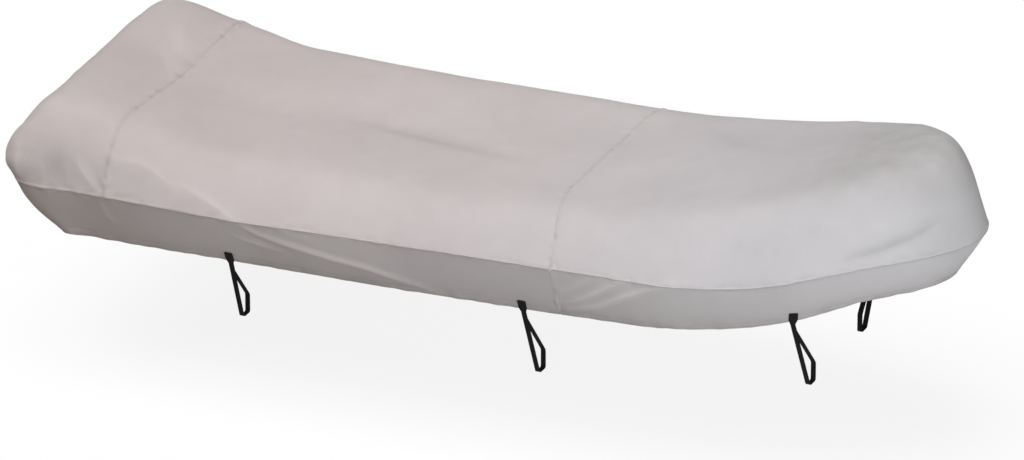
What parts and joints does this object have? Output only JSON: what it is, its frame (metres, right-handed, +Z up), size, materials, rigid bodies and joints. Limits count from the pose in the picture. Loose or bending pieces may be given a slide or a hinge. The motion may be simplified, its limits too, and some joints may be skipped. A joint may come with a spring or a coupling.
{
  "type": "inflatable boat cover",
  "caption": "Fitted fabric cover in the shape of the inflatable boat it covers, with tucked-in lower band and webbing tie loops.",
  "frame": {"origin": "on the centreline under the middle of the top, where the boat carries the cloth", "axes": "+X towards the bow, +Z up, -Y the near side"},
  "size_m": [3.9988, 1.4791, 1.0786],
  "materials": {
    "canvas": "matt woven polyester canvas, light warm grey",
    "webbing": "black woven polypropylene webbing"
  },
  "bodies": {
    "root": {"stern_panel": "canvas", "main_panel": "canvas", "bow_panel": "canvas", "aft_skirt": "canvas", "bow_skirt": "canvas", "strap_near_aft": "webbing", "strap_near_mid": "webbing", "strap_near_bow": "webbing", "strap_far_aft": "webbing", "strap_far_mid": "webbing", "strap_far_bow": "webbing"}
  },
  "joints": []
}
